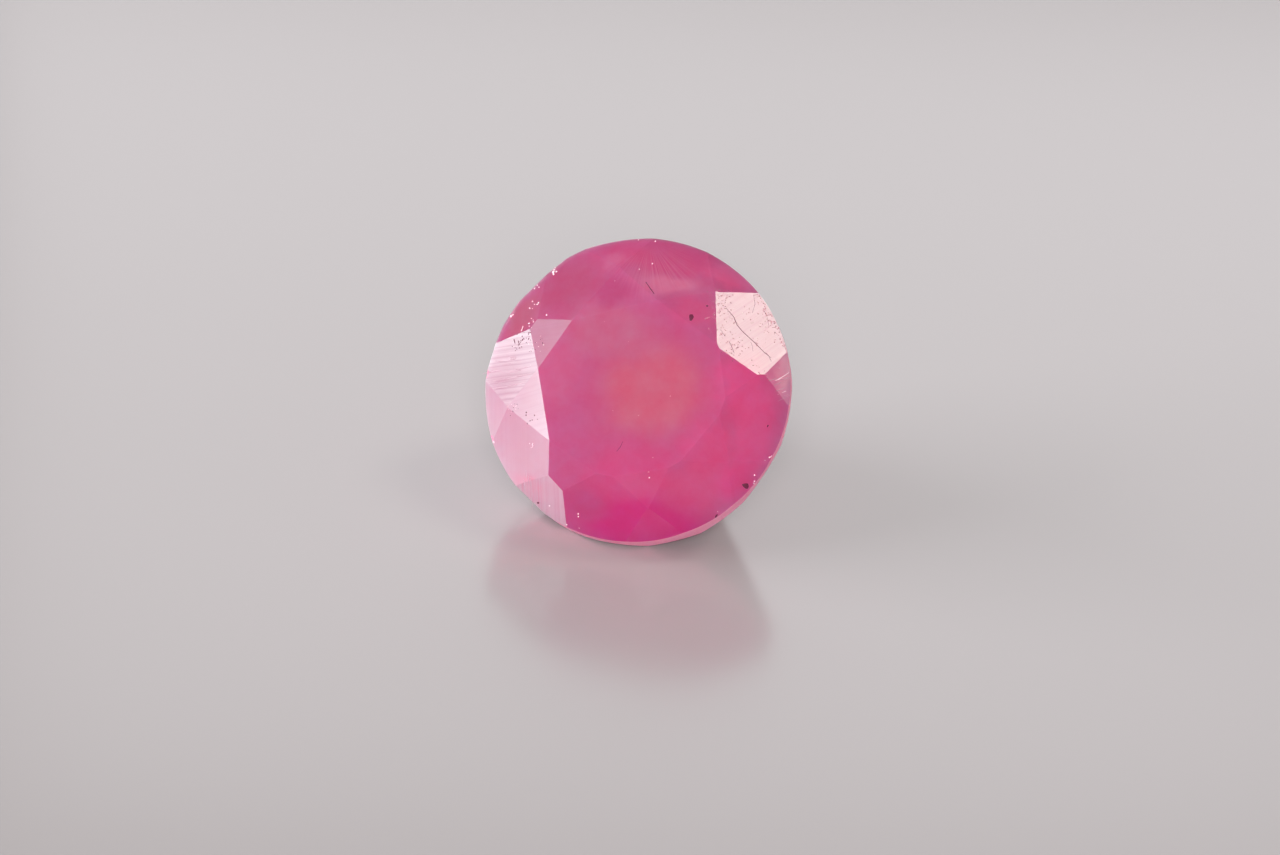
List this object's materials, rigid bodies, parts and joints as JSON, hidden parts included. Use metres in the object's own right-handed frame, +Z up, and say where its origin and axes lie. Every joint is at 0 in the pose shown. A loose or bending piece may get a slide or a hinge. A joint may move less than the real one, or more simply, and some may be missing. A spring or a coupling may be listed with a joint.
{
  "type": "faceted pink sapphire",
  "caption": "Round faceted pink sapphire, a loose cut gemstone with a flat table, a thick girdle and a deep off-centre pavilion, lying on a pavilion facet.",
  "frame": {"origin": "on the surface that the stone lies on, under the middle of its box", "axes": "+Z up from the resting facet, +X along the girdle's level diameter, -Y the way the table leans"},
  "size_m": [0.0064, 0.0058, 0.0054],
  "materials": {
    "corundum": "polished"
  },
  "bodies": {
    "root": {"pink_sapphire": "corundum"}
  },
  "joints": []
}
